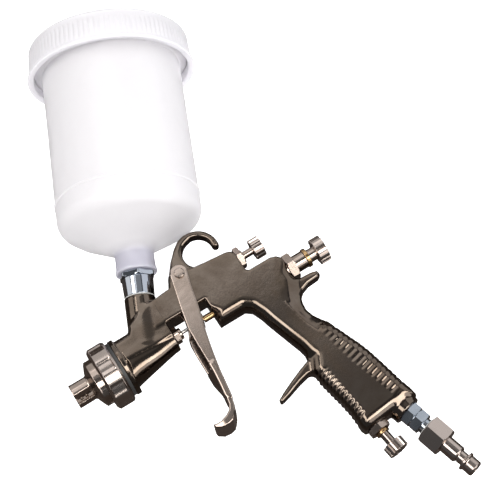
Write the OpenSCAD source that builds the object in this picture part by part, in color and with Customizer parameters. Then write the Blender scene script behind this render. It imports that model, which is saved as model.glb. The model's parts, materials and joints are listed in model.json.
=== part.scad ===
// Gravity-fed HVLP spray gun with a plastic cup.
// X points the way the gun sprays, Y to the gun's left, Z up. The origin is the tip of the fluid nozzle.
// Lengths are in millimetres. Screw threads are plain cylinders at the thread's outer diameter.

/* [Body] */
// Thickness of the cast body between its flat sides
body_thick = 18; // [17:0.5:19]
// Thickness of the lower grip
grip_thick = 22; // [19:0.5:24]
// Thickness of the hanging hook
hook_thick = 8; // [6:0.5:10]
// Distance from the nozzle tip back to the cup's axis, measured on the barrel axis
cup_setback = 40; // [39:0.5:41]
// Lean of the cup's axis, back from upright
cup_lean = 23.5; // [22:0.5:25]
// Lean of the grip and of the air inlet, back from upright
grip_lean = 15.4; // [14.9:0.1:15.9]

/* [Head] */
// Outer radius of the retaining ring
ring_r = 20.3; // [19.5:0.1:21]
// Radius of the air cap's front
cap_r = 15; // [14:0.1:15.2]
// How far the cap's horns stand in front of the nozzle tip
horn_reach = 10.3; // [8:0.1:12]
// Turn of the horns away from level
horn_turn = 20; // [-180:5:180]
// Radius of the nozzle's outlet
nozzle_hole_r = 0.9; // [0.88:0.01:0.95]

/* [Cup] */
// Outer radius of the cup at its shoulder
cup_r = 45; // [44:0.5:46]
// Wall of the cup
cup_wall = 2; // [1.5:0.25:2.5]
// Outer radius of the lid's skirt
lid_r = 53.5; // [53:0.25:55]

/* [Controls] */
// Radius of the fluid knob
fluid_knob_r = 8.5; // [7.5:0.25:9.5]
// Radius of the fan knob
fan_knob_r = 6.6; // [5.5:0.1:7.5]
// Radius of the air knob
air_knob_r = 6.6; // [5.5:0.1:7.5]
// Flutes round each knob
flutes = 14; // [8:1:20]

/* [Trigger] */
// Thickness of each trigger leg
leg_thick = 2.5; // [2:0.25:3]
// Radius of the pivot pin
pin_r = 2.5; // [2:0.1:2.8]

/* [Air inlet] */
// Width across the flats of the plug's hexagon
plug_flats = 17; // [16:0.5:19]
// Radius of the plug's front end
plug_tip_r = 5.1; // [5:0.05:5.2]

/* [Hidden] */
$fn = 96;

// Over-run of a cut past the face it opens
over = 1;
// Radial play of a turning or sliding fit
play = 0.05;

// Colours
gunmetal = [0.34, 0.31, 0.29];
nickel = [0.72, 0.66, 0.62];
chrome = [0.80, 0.82, 0.84];
zinc = [0.60, 0.64, 0.68];
brass = [0.80, 0.60, 0.28];
dark = [0.10, 0.10, 0.10];
steel = [0.70, 0.70, 0.70];
white = [0.95, 0.94, 0.95];

// Stations along the barrel (x), from the head back
ring_front = -8.7;
ring_back = -20.7;
spigot_front = -14.2;
spigot_r = 16.8;
head_face = -18.6;
flange_front = -22.8;
flange_back = -26;
flange_r = 18.2;
head_front_r = 14.8;
head_back_r = 9.3;
web_r = 16.4;
socket_back = -30;
socket_r = 6;
recess_r = 14.5;
paint_back = -50;
paint_r = 2.6;
packing_front = -52;
packing_back = -55;
notch_front = -59;
notch_back = -86.5;
notch_top = 8;
block_back = -117;
barrel_back = -139.5;

// Needle and air valve on the barrel axis
needle_r = 1.1;
packing_r = 3;
needle_play = 0.15;
stem_r = 2.2;
stem_front = -80.05;
stem_back = -118;
seal_r = 3.6;
gland_floor = -92;
chamber_front = -93.5;
chamber_r = 5;
valve_r = 6.6;
seat_front = -102;
seat_back = -105;
poppet_front = -105.2;
poppet_back = -108.4;
guide_front = -126;
guide_bore_r = 4;
collar_front = -119.43;
collar_back = -123.4;
fluid_hex_back = -144.5;
guide_back = -152;
lock_ring_back = -154.5;
spindle_front = -146;
fluid_spindle_r = 4.25;
fluid_knob_front = -159.5;
fluid_knob_back = -166;

// Fan control, above the barrel
fan_z = 22;
fan_bore_r = 4;
fan_spindle_r = 2.4;
fan_floor = -104;
fan_throat_r = 2.5;
fan_hex_back = -120.5;
fan_knob_front = -128;
fan_knob_back = -134.5;

// Air passages beside the fluid passage
duct_y = 6.6;
duct_z = 11;
duct_r = 1.5;
duct_back = -98.5;
cross_x = -97;
riser_r = 1.9;

// Trigger pivot
pivot = [-81.5, 29.3];
leg_gap = 0.5;
leg_in = body_thick / 2 + leg_gap;
leg_out = leg_in + leg_thick;
bar_x = -76.9;
bar_r = 3;

// Cup stations along the cup's axis, from the barrel axis up
boss_r = 9.5;
boss_top = 35.5;
port_floor = 24;
port_r = 8.05;
passage_r = 4.6;
adapter_base = 36.1;
adapter_hex = 48.1;
neck_base = 51.7;
rim_top = 204;
lid_top = 209.5;

// Air inlet: where the grip's boss ends, and stations down from it
inlet_at = [-151.9, -113.75];
inlet_r = 6;
inlet_bore_r = 3;
inlet_floor = -20;
thread_floor = -10;
grip_duct_r = 3.5;
grip_duct_top = -112;
grip_duct_base = -26;

// Air control under the grip
air_at = [-131.8, -111.1];
air_lean = 8.3;
air_bore_r = 5;
air_floor = -18;
air_throat_r = 2.6;
air_spindle_r = 3;
spot_face_r = 7.8;

// Cross bores of the grip: into the control below its seat, and out above it
cross_r = 2;
cross_in_z = -97;
cross_out_z = -86;

// Points of an arc in a plan, from one angle to another
function arc(centre, r, from, to, steps = 12) =
    [for (i = [0:steps]) let (a = from + (to - from) * i / steps) centre + r * [cos(a), sin(a)]];

// Lays a shape drawn up +Z along the barrel, pointing forward, with its base at x
module on_barrel(x, z = 0) translate([x, 0, z]) rotate([0, 90, 0]) children();

// Stands a shape on the cup's axis, s above the barrel axis
module on_cup(s = 0) translate([-cup_setback, 0, 0]) rotate([0, -cup_lean, 0]) translate([0, 0, s]) children();

// Hangs a shape on the inlet's axis, s below the grip
module on_inlet(s = 0)
    translate([inlet_at[0], 0, inlet_at[1]]) rotate([0, 180 + grip_lean, 0]) translate([0, 0, s]) children();

// Hangs a shape on the air control's axis, s below the grip
module on_air(s = 0)
    translate([air_at[0], 0, air_at[1]]) rotate([0, 180 + air_lean, 0]) translate([0, 0, s]) children();

// A plate cut to an outline in the XZ plane, centred on Y
module plate(thick) rotate([90, 0, 0]) linear_extrude(thick, center = true) children();

// A round bar on the barrel between two stations
module bar(from, to, r, z = 0) on_barrel(min(from, to), z) cylinder(h = abs(to - from), r = r);

// A tube on the barrel between two stations
module tube(from, to, r_out, r_in, z = 0) {
    difference() {
        bar(from, to, r_out, z);
        bar(min(from, to) - over, max(from, to) + over, r_in, z);
    }
}

// An upright tube
module ring(h, r_out, r_in) {
    difference() {
        cylinder(h = h, r = r_out);
        translate([0, 0, -over]) cylinder(h = h + 2 * over, r = r_in);
    }
}

// A hexagon with chamfered corners, drilled through
module hexagon(h, flats, r_in) {
    difference() {
        intersection() {
            cylinder(h = h, r = flats / 2 / cos(30), $fn = 6);
            cylinder(h = h, r = flats / 2 / cos(30) - flats / 40);
        }
        translate([0, 0, -over]) cylinder(h = h + 2 * over, r = r_in);
    }
}

// A knob with flutes cut into its rim
module fluted_knob(h, r, r_in, depth) {
    flute_r = 3.14 * r / flutes / 2.4;
    difference() {
        cylinder(h = h, r = r);
        translate([0, 0, -over]) cylinder(h = depth + over, r = r_in);
        for (i = [0:flutes - 1]) {
            rotate(i * 360 / flutes) translate([r + flute_r / 2, 0, -over])
                cylinder(h = h + 2 * over, r = flute_r);
        }
    }
}

// A coil spring along +Z: rings of points round the wire, joined into one closed solid
module coil(length, r, wire_r, turns) {
    sides = 8;
    per_turn = 14;
    rings = turns * per_turn;
    points = [for (i = [0:rings], j = [0:sides - 1])
        let (a = i * 360 / per_turn, b = j * 360 / sides, q = r + wire_r * cos(b))
        [q * cos(a), q * sin(a), wire_r + (length - 2 * wire_r) * i / rings + wire_r * sin(b)]];
    skin = [for (i = [0:rings - 1], j = [0:sides - 1])
        let (k = (j + 1) % sides)
        [i * sides + j, (i + 1) * sides + j, (i + 1) * sides + k, i * sides + k]];
    first = [for (j = [0:sides - 1]) j];
    last = [for (j = [0:sides - 1]) rings * sides + sides - 1 - j];
    polyhedron(points, concat([first], skin, [last]));
}

// Side outline of the casting behind the head: fan block, rear barrel, tail horn and grip
module casting_plan() {
    polygon(concat(
        [[-52, 5], [-52, 24.5], [-71.6, 25.6], [-78, 36], [-90, 29.5]],
        arc([-114.2, 24.2], 2.8, 90, 180, 6),
        arc([-119, 11.7], 2, 0, -90, 6),
        arc([-136, 6.2], 3.5, 90, 180, 6),
        [[-139.5, -8.5], [-142, -9.8]],
        arc([-152.2, -12.5], 2, 75, 270, 8),
        arc([-146, -28], 12, 88, -50, 16),
        [[-141.5, -43], [-148, -58.5], [-152.8, -73], [-156.5, -88], [-160, -103], [-161, -108.5]],
        arc([-126.3, -108.5], 3.6, 264, 360, 6),
        [[-122.3, -97], [-120.7, -86], [-118.7, -76], [-117, -69]],
        [[-121.5, -62], [-119.3, -52.5]],
        arc([-103, -13.2], 4, 163, 90, 6),
        arc([-88, -7.7], 1.5, -90, 0, 4),
        arc([notch_back + 3, notch_top - 3], 3, 180, 90, 6),
        arc([notch_front - 3, notch_top - 3], 3, 90, 0, 6)));
}

// Side outline of the finger hook in front of the grip
module finger_hook_plan() {
    polygon(concat(
        [[-124, -50], [-119, -56.3], [-111.4, -59], [-102.2, -62.6]],
        arc([-92.6, -68.7], 1.4, 55, -110, 8),
        [[-98.6, -68.3], [-107.5, -65.6], [-114, -65.4], [-117.2, -68], [-118.5, -75], [-128, -75]]));
}

// Side outline of the hanging hook, open to the rear
module hook_plan() {
    centre = [-98.5, 38.4];
    difference() {
        union() {
            translate(centre) circle(r = 14.2);
            polygon([[-71.6, 25.6], [-76.2, 35.5], [-81.5, 42], [-88.5, 48.6], [-98, 50], [-96, 26], [-84, 20]]);
        }
        translate(centre) circle(r = 9.9);
        polygon([centre, [-110.7, 37.2], [-120, 37.2], [-120, 20], [-98.5, 20]]);
    }
    translate([-110.5, 37.4]) circle(r = 2.1);
}

// Outside of the casting, before it is bored
module casting() {
    plate(body_thick) casting_plan();
    plate(hook_thick) hook_plan();
    plate(10) finger_hook_plan();
    // lower grip, fuller than the rest
    plate(grip_thick) polygon([[-123, -66], [-147.5, -62], [-151, -75], [-154.5, -90], [-157, -106],
        [-127, -108.5], [-124.5, -97], [-122.5, -85]]);
    // head: taper from the flange back to the trigger notch, with flat cheeks and a web over it for the air ducts
    intersection() {
        plate(body_thick) polygon([[flange_back, -8.3], [flange_back, 16], [-37, 16.5], [-54, 24], [-54, 0],
            [notch_front, 0], [notch_front, -5.5], [-56, -7], [-50, -8.3]]);
        bar(notch_front, flange_back, web_r);
    }
    intersection() {
        on_barrel(notch_front) cylinder(h = flange_back - notch_front, r1 = head_back_r, r2 = head_front_r);
        linear_extrude(2 * flange_r, center = true) polygon([[notch_front, -9], [-50, -9], [-30, -12],
            [flange_back, -12], [flange_back, 12], [-30, 12], [-50, 9], [notch_front, 9]]);
    }
    bar(flange_back, flange_front, flange_r);
    bar(flange_front, spigot_front, spigot_r);
    // port that the cup stands on, and the boss that the air inlet screws into
    on_cup() cylinder(h = boss_top, r = boss_r);
    on_inlet(-12) cylinder(h = 12, r = 9.15);
}

module gun_body() {
    color(gunmetal) difference() {
        casting();
        // head: recess behind the cap, nozzle socket, fluid passage and needle packing
        bar(head_face, spigot_front + over, recess_r);
        bar(socket_back, head_face + over, socket_r);
        bar(paint_back, socket_back + over, paint_r);
        bar(notch_front - over, packing_front, packing_r);
        bar(packing_front - over, paint_back + over, needle_r + 2 * needle_play);
        // cup port
        on_cup(0) cylinder(h = port_floor + over, r = passage_r);
        on_cup(port_floor) cylinder(h = boss_top, r = port_r);
        // trigger pivot
        translate([pivot[0], 0, pivot[1]]) rotate([90, 0, 0])
            cylinder(h = 3 * body_thick, r = pin_r, center = true);
        // air ducts to the head, joined by a cross bore
        for (side = [-1, 1]) translate([0, side * duct_y, 0]) bar(duct_back, head_face + over, duct_r, duct_z);
        translate([cross_x, 0, duct_z]) rotate([90, 0, 0])
            cylinder(h = 2 * duct_y, r = duct_r - 0.1, center = true);
        translate([cross_x, 0, 0]) cylinder(h = fan_z, r = riser_r);
        // fan control
        bar(block_back - over, fan_floor, fan_bore_r, fan_z);
        bar(fan_floor - over, chamber_front, fan_throat_r, fan_z);
        // air valve
        bar(gland_floor, notch_back + over, seal_r);
        bar(chamber_front - over, gland_floor + over, stem_r + 0.2);
        bar(seat_front - over, chamber_front, chamber_r);
        bar(barrel_back - over, seat_front, valve_r);
        // air passages in the grip: the air passes the control's seat on its way from the inlet to the upper duct
        on_inlet(grip_duct_top) cylinder(h = grip_duct_base - grip_duct_top, r = grip_duct_r);
        on_inlet(thread_floor) cylinder(h = over - thread_floor, r = inlet_r);
        on_inlet(inlet_floor) cylinder(h = over + thread_floor - inlet_floor, r = inlet_bore_r);
        on_air(air_floor) cylinder(h = over - air_floor, r = air_bore_r);
        on_air(air_floor - 10) cylinder(h = 10 + over, r = air_throat_r);
        on_air(0) cylinder(h = 5, r = spot_face_r);
        bar(-147, -133, cross_r, cross_in_z);
        bar(-144, -128.5, cross_r, cross_out_z);
    }
}

// Cap with an air chamber behind it and two horns that shape the spray
module air_cap() {
    color(nickel) rotate([horn_turn, 0, 0]) {
        difference() {
            on_barrel(0) rotate_extrude() polygon([[0, -4.6], [8, -4.6], [12, -7.5], [12, -13], [16.6, -13],
                [16.6, -10.5], [cap_r, -10.5], [cap_r, -4.6], [13.6, -3.6], [8.6, -1.6], [0, -1.6]]);
            bar(-6, 0, 2.7);
        }
        for (side = [-1, 1]) {
            difference() {
                intersection() {
                    on_barrel(-4) cylinder(h = horn_reach + 4, r = 8.6);
                    translate([-4, side * 8 - 3.2, -4.2]) cube([horn_reach + 4, 6.4, 8.4]);
                }
                // air holes through the horn's inner face, aimed at the spray
                for (x = [3.2, 6.6]) {
                    translate([x, side * 4.6, 0]) rotate([90, 0, 0]) cylinder(h = 4, r = 0.8, center = true);
                }
                bar(-5, horn_reach + over, 4.9);
            }
        }
    }
}

// Ring that screws onto the head and holds the cap; raised pads give grip
module air_cap_ring() {
    pads = 8;
    color(nickel) difference() {
        union() {
            on_barrel(0) rotate_extrude() polygon([[14, ring_back], [18.9, ring_back], [19.5, ring_back + 1],
                [19.5, ring_front - 1.2], [18.6, ring_front], [14, ring_front]]);
            for (i = [0:pads - 1]) {
                rotate([i * 360 / pads, 0, 0]) intersection() {
                    bar(ring_back + 1.6, ring_front - 1.6, ring_r);
                    translate([ring_back, 10, -4.6]) cube([ring_front - ring_back, 14, 9.2]);
                }
            }
        }
        bar(ring_back - over, ring_front - 1.5, spigot_r + 0.1);
        bar(ring_back - over, ring_front + over, cap_r + 0.35);
        bar(-14.1, -13.1, 17.6);
    }
}

// Wire ring that keeps the cap in its retaining ring
module cap_clip() {
    color(steel) tube(-14, -13.2, 17.5, 15.9);
}

module air_baffle() {
    color(dark) tube(flange_front, ring_back - 0.2, 17.6, spigot_r + play);
}

module fluid_nozzle() {
    color(steel) difference() {
        union() {
            on_barrel(0) rotate_extrude() polygon([[0, -14.1], [5.5, -14.1], [5.2, -7.5], [3, -6], [1.95, -2.4],
                [1.9, 0], [0, 0]]);
            on_barrel(-18) cylinder(h = 4, r = 7, $fn = 6);
            bar(socket_back, -17.9, socket_r);
        }
        on_barrel(0) rotate_extrude() polygon([[0, 1], [nozzle_hole_r, 1], [nozzle_hole_r, -1], [2.4, -5.5],
            [3, -6.5], [3, -31], [0, -31]]);
    }
}

module nozzle_gasket() {
    color(brass) tube(head_face, -18, 8.6, socket_r);
}

module needle_packing() {
    color(white) tube(packing_front, packing_back, packing_r, needle_r + 0.02);
}

module packing_nut() {
    color(nickel) {
        tube(packing_back - 0.2, notch_front - 0.2, packing_r, needle_r + needle_play);
        on_barrel(-62.5) hexagon(3.4, 9, needle_r + needle_play);
        tube(-62.4, -64.5, 3.4, needle_r + needle_play);
    }
}

// Needle with a conical tip that closes the nozzle
module fluid_needle() {
    color(steel) on_barrel(0) rotate_extrude() polygon([[0, 0.4], [0.25, 0.4], [0.84, -0.9], [needle_r, -3.2],
        [needle_r, -139.4], [needle_r - 0.4, -140], [0, -140]]);
}

module needle_collar() {
    color(brass) tube(collar_back, collar_front, 3.5, needle_r);
}

module needle_spring() {
    color(steel) on_barrel(spindle_front + 0.1) coil(collar_back - spindle_front - 0.2, 3, 0.35, 8);
}

module stem_seal() {
    color(white) tube(gland_floor, -89.4, seal_r, stem_r + 0.02);
}

module stem_gland() {
    color(brass) tube(-89.3, notch_back, seal_r, stem_r + play);
}

// Brass tube on the needle: the trigger's bar pushes it back to open the air valve
module air_valve_stem() {
    color(brass) tube(stem_back, stem_front, stem_r, needle_r + 0.06);
}

module valve_seat() {
    color(brass) tube(seat_back, seat_front, valve_r, 4.2);
}

module valve_poppet() {
    color(dark) tube(poppet_back, poppet_front, 5.4, stem_r);
}

module valve_spring() {
    color(steel) on_barrel(guide_front + 0.1) coil(poppet_back - guide_front - 0.2, 4.6, 0.45, 6);
}

// Hexagonal sleeve in the rear of the barrel: guides the needle's spring and the fluid spindle
module fluid_guide() {
    color(nickel) difference() {
        union() {
            bar(guide_front, -140, valve_r);
            on_barrel(fluid_hex_back) hexagon(barrel_back - fluid_hex_back, 15, 1);
            bar(guide_back, fluid_hex_back + 0.5, 5.5);
        }
        bar(guide_front + over, -143, guide_bore_r);
        bar(-143 + over, guide_back - over, fluid_spindle_r + play);
    }
}

module guide_lock_ring() {
    color(brass) tube(lock_ring_back, guide_back, 6.1, fluid_spindle_r + play);
}

module fluid_spindle() {
    color(nickel) difference() {
        bar(spindle_front, fluid_knob_front - 4, fluid_spindle_r);
        bar(spindle_front + over, spindle_front - 7, needle_r + 0.5);
    }
}

module fluid_knob() {
    depth = 4.1;
    color(nickel) on_barrel(fluid_knob_front) rotate([180, 0, 0])
        fluted_knob(fluid_knob_front - fluid_knob_back, fluid_knob_r, fluid_spindle_r + play, depth);
}

module fan_gland() {
    color(nickel) difference() {
        union() {
            on_barrel(fan_hex_back, fan_z) hexagon(block_back - fan_hex_back, 12.5, 1);
            bar(block_back - 0.5, -108, fan_bore_r, fan_z);
            bar(fan_hex_back - 1, fan_hex_back + 0.5, 4.2, fan_z);
        }
        bar(-107, fan_hex_back - 2, fan_spindle_r + play, fan_z);
    }
}

module fan_seal() {
    color(dark) tube(-107.9, -106.4, fan_bore_r, fan_spindle_r + play, fan_z);
}

// Screw with a conical end that throttles the air to the horns
module fan_spindle() {
    color(nickel) on_barrel(0, fan_z) rotate_extrude() polygon([[0, -105], [0.8, -105], [fan_spindle_r, -109.5],
        [fan_spindle_r, fan_knob_front - 4], [0, fan_knob_front - 4]]);
}

module fan_knob() {
    depth = 4.1;
    color(nickel) on_barrel(fan_knob_front, fan_z) rotate([180, 0, 0])
        fluted_knob(fan_knob_front - fan_knob_back, fan_knob_r, fan_spindle_r + play, depth);
}

module air_gland() {
    color(nickel) difference() {
        union() {
            on_air(0) hexagon(4.3, 12.5, 1);
            on_air(-10) cylinder(h = 10.5, r = air_bore_r);
        }
        on_air(-11) cylinder(h = 20, r = air_spindle_r + play);
    }
}

module air_gland_ring() {
    color(brass) on_air(4.3) ring(2, 4.3, air_spindle_r + play);
}

module air_seal() {
    color(dark) on_air(-11.6) ring(1.5, air_bore_r, air_spindle_r + play);
}

// Screw with a conical end that throttles the air entering the grip
module air_spindle() {
    color(nickel) on_air(0) rotate_extrude() polygon([[0, -18.8], [1.6, -18.8], [air_spindle_r, -15],
        [air_spindle_r, 17.5], [0, 17.5]]);
}

module air_knob() {
    depth = 4.1;
    color(nickel) on_air(13.5) fluted_knob(6.5, air_knob_r, air_spindle_r + play, depth);
}

// Side outline of a trigger leg
module leg_plan() {
    polygon(concat(
        arc(pivot, 5.4, 215, 5, 14),
        [[-74.3, 19.5], [-70.8, 8], [-68.3, -3.7], [-67.5, -15], [-67.3, -30], [-66.3, -44], [-65.2, -52]],
        [[-68.2, -53.5], [-70.6, -38.5], [-73.4, -23], [-76.6, -9.2], [-80.5, 5.5], [-83.8, 20]]));
}

// Side outline of the trigger's face between its legs, ending in a curl
module blade_plan() {
    polygon(concat(
        [[-67.3, -30], [-66.3, -44], [-65.2, -52]],
        arc([-56.6, -53.4], 8.6, 171, 262, 10),
        arc([-52.2, -63.6], 1.7, 75, -70, 8),
        arc([-57, -55], 11.6, 285, 190, 12),
        [[-69.6, -44], [-70.3, -30]]));
}

// Lever with two legs that straddle the body, a round bar that pushes the air valve stem, and a finger face
module trigger() {
    color(nickel) difference() {
        union() {
            for (side = [-1, 1]) {
                translate([0, side * (leg_in + leg_thick / 2), 0]) plate(leg_thick) leg_plan();
            }
            plate(2 * leg_out) blade_plan();
            translate([bar_x, 0, 0]) rotate([90, 0, 0]) cylinder(h = 2 * leg_in + 1, r = bar_r, center = true);
        }
        translate([pivot[0], 0, pivot[1]]) rotate([90, 0, 0])
            cylinder(h = 3 * body_thick, r = pin_r + play, center = true);
        // the needle passes through a slot with room for the bar's tilt
        slot = [2 * bar_r + 2 * over, 2 * needle_r + 0.8, 4.6];
        translate([bar_x, 0, 0]) cube(slot, center = true);
    }
}

// Sleeve nut that the trigger swings on, with its head on the left
module trigger_pin() {
    color(nickel) translate([pivot[0], 0, pivot[1]]) rotate([90, 0, 0]) difference() {
        union() {
            translate([0, 0, -leg_out - 0.2]) cylinder(h = 2 * leg_out + 0.4, r = pin_r);
            translate([0, 0, -leg_out - 1.6]) cylinder(h = 1.4, r = 3.4);
        }
        translate([0, 0, leg_out - 10]) cylinder(h = 12, r = 1.4);
    }
}

// Slotted screw in the sleeve nut, on the right
module trigger_screw() {
    slot = [0.8, 7, 0.6];
    color(nickel) translate([pivot[0], 0, pivot[1]]) rotate([90, 0, 0]) difference() {
        union() {
            translate([0, 0, leg_out + 0.2]) cylinder(h = 1.4, r = 3.3);
            translate([0, 0, leg_out - 9]) cylinder(h = 9.5, r = 1.4);
        }
        translate([-slot[0] / 2, -slot[1] / 2, leg_out + 1.6 - slot[2]]) cube([slot[0], slot[1], slot[2] + over]);
    }
}

module port_seal() {
    color(white) on_cup(boss_top + 0.02) ring(adapter_base - boss_top - 0.04, 9.2, port_r);
}

// Metal neck that joins the cup to the gun's port
module cup_adapter() {
    color(chrome) difference() {
        union() {
            on_cup(port_floor + 1) cylinder(h = adapter_base - port_floor, r = port_r - play);
            on_cup(adapter_base) cylinder(h = adapter_hex - adapter_base + 0.5, r1 = 9.3, r2 = 9.9);
            on_cup(adapter_hex) hexagon(neck_base - adapter_hex, 20, 1);
            on_cup(neck_base - 0.5) cylinder(h = 9.5, r = 8);
        }
        on_cup(port_floor) cylinder(h = 40, r = passage_r);
    }
}

// Strainer that stands in the adapter
module cup_filter() {
    wall = 0.8;
    color(white) on_cup(neck_base - 2) rotate_extrude() polygon([[passage_r - 0.1 - wall, 0], [passage_r - 0.1, 0],
        [passage_r - 0.1, 11.1], [7, 11.1], [7, 12.1], [4.4, 12.1], [3.8, 20], [0, 21.5], [0, 20.5], [3, 19.2],
        [passage_r - 0.1 - wall, 11]]);
}

// Cup: neck, funnel, rounded shoulder, slightly tapered wall and a wider rim for the lid
module cup_shell() {
    w = cup_wall;
    shoulder = 92;
    color(white) on_cup() rotate_extrude() polygon(concat(
        [[8, neck_base], [12.8, neck_base], [12.3, 54], [12.2, 65.5]],
        [[15, 67.6], [36, 78.4]],
        arc([cup_r - 11, shoulder - 1.5], 11, -62, 0, 8),
        [[cup_r - 0.9, 190], [49, 193], [49, rim_top], [46, rim_top], [46, 195], [cup_r - 0.9 - w, 192]],
        arc([cup_r - 11, shoulder - 1.5], 11 - w, 0, -62, 8),
        [[35.2, 80.3], [14.5, 69.8], [8, 63.9]]));
}

module lid_seal() {
    color(white) on_cup(rim_top + 0.02) ring(2, 48.8, 45.6);
}

// Screw lid with a finely fluted skirt
module cup_lid() {
    ribs = 60;
    rib_r = 0.9;
    color(white) on_cup() {
        difference() {
            union() {
                rotate_extrude() polygon([[0, rim_top + 2.1], [49.6, rim_top + 2.1], [49.6, 187.8], [50.6, 187.3],
                    [lid_r, 187.3], [lid_r, 189], [lid_r - 1, 190], [lid_r - 1.8, 205], [lid_r - 3.8, lid_top],
                    [0, lid_top]]);
                for (i = [0:ribs - 1]) {
                    rotate(i * 360 / ribs) translate([lid_r - 2, 0, 190]) cylinder(h = 14, r = rib_r);
                }
            }
            translate([0, 0, rim_top]) cylinder(h = 10, r = 3);
        }
    }
}

// Plug with a breathing hole in the middle of the lid
module vent_plug() {
    color(white) difference() {
        union() {
            on_cup(rim_top) cylinder(h = lid_top - rim_top, r = 3 - play);
            on_cup(lid_top) cylinder(h = 2.4, r = 6);
        }
        on_cup(rim_top - over) cylinder(h = 12, r = 0.8);
    }
}

// Plated nipple: stub in the grip, two hexagons and a threaded end
module inlet_fitting() {
    color(zinc) difference() {
        union() {
            on_inlet(-9) cylinder(h = 9.5, r = inlet_r);
            on_inlet(0) hexagon(5.6, 13, 1);
            on_inlet(5.5) cylinder(h = 0.6, r = 5.8);
            on_inlet(6) hexagon(5.8, 12.4, 1);
            on_inlet(11.5) cylinder(h = 10.5, r = 4.9);
        }
        on_inlet(thread_floor) cylinder(h = 34, r = inlet_bore_r);
    }
}

module inlet_seal() {
    color(white) on_inlet(14.3) ring(0.9, 6.6, 4.9);
}

// Quick-release plug: hexagon, shank, neck, collar and tip
module quick_plug() {
    plug_end = 52;
    color(nickel) difference() {
        union() {
            on_inlet(15.2) hexagon(13.3, plug_flats, 1);
            on_inlet(0) rotate_extrude() polygon([[0, 28], [5.3, 28], [5.3, 38.6], [4.6, 39.4], [3.9, 39.4],
                [3.9, 43.4], [6, 43.9], [6, 45], [5.1, 45.6], [plug_tip_r, plug_end], [0, plug_end]]);
        }
        on_inlet(14) cylinder(h = 9, r = 4.9);
        on_inlet(21) cylinder(h = plug_end, r = inlet_bore_r);
    }
}

gun_body();
air_cap();
air_cap_ring();
cap_clip();
air_baffle();
fluid_nozzle();
nozzle_gasket();
needle_packing();
packing_nut();
fluid_needle();
needle_collar();
needle_spring();
stem_seal();
stem_gland();
air_valve_stem();
valve_seat();
valve_poppet();
valve_spring();
fluid_guide();
guide_lock_ring();
fluid_spindle();
fluid_knob();
fan_gland();
fan_seal();
fan_spindle();
fan_knob();
air_gland();
air_gland_ring();
air_seal();
air_spindle();
air_knob();
trigger();
trigger_pin();
trigger_screw();
port_seal();
cup_adapter();
cup_filter();
cup_shell();
lid_seal();
cup_lid();
vent_plug();
inlet_fitting();
inlet_seal();
quick_plug();
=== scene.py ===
import json
import math
import bpy
import numpy as np
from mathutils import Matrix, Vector


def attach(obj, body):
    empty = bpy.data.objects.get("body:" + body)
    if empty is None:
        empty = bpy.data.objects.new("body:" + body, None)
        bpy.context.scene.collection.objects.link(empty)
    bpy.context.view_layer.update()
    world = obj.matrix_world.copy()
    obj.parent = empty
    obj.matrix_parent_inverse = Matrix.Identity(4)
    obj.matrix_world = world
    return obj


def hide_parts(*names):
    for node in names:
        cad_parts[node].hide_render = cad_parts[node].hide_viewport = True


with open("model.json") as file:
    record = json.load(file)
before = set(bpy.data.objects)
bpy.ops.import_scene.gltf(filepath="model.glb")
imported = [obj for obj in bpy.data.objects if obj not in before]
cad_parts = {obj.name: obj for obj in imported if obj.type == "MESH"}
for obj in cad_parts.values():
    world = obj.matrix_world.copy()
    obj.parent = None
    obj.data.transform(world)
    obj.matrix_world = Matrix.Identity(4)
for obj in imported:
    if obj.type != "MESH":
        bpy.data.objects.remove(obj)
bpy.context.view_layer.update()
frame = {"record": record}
mm = 0.001



def newGroup(name, inputs, outputs):
    tree = bpy.data.node_groups.new(name, "ShaderNodeTree")
    for label, kind, value in inputs:
        socket = tree.interface.new_socket(label, in_out="INPUT", socket_type=kind)
        if value is not None:
            socket.default_value = value
    for label, kind in outputs:
        tree.interface.new_socket(label, in_out="OUTPUT", socket_type=kind)
    return tree, tree.nodes.new("NodeGroupInput"), tree.nodes.new("NodeGroupOutput")


def addNode(tree, kind, values=None, links=None, **settings):
    node = tree.nodes.new(kind)
    for key, value in settings.items():
        setattr(node, key, value)
    for key, value in (values or {}).items():
        node.inputs[key].default_value = value
    for key, source in (links or {}).items():
        tree.links.new(source, node.inputs[key])
    return node


def mathNode(tree, operation, a, b=None, clamp=False):
    node = tree.nodes.new("ShaderNodeMath")
    node.operation = operation
    node.use_clamp = clamp
    for i, value in enumerate((a, b)):
        if isinstance(value, (int, float)):
            node.inputs[i].default_value = value
        elif value is not None:
            tree.links.new(value, node.inputs[i])
    return node.outputs[0]


def makeGrainGroup():
    # fine unevenness of a cast, plated or moulded skin
    tree, entry, leave = newGroup("surfaceGrain",
        [("Vector", "NodeSocketVector", None), ("Scale", "NodeSocketFloat", 900.0),
         ("Depth", "NodeSocketFloat", 0.02), ("Wave", "NodeSocketFloat", 0.05)],
        [("Normal", "NodeSocketVector")])
    fine = addNode(tree, "ShaderNodeTexNoise", {"Detail": 4.0, "Roughness": 0.6},
                   {"Vector": entry.outputs["Vector"], "Scale": entry.outputs["Scale"]})
    broad = addNode(tree, "ShaderNodeTexNoise", {"Scale": 60.0, "Detail": 2.0},
                    {"Vector": entry.outputs["Vector"]})
    first = addNode(tree, "ShaderNodeBump", {"Distance": 0.001},
                    {"Height": broad.outputs[0], "Strength": entry.outputs["Wave"]})
    second = addNode(tree, "ShaderNodeBump", {"Distance": 0.0002},
                     {"Height": fine.outputs[0], "Strength": entry.outputs["Depth"],
                      "Normal": first.outputs[0]})
    tree.links.new(second.outputs[0], leave.inputs["Normal"])
    return tree


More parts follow.
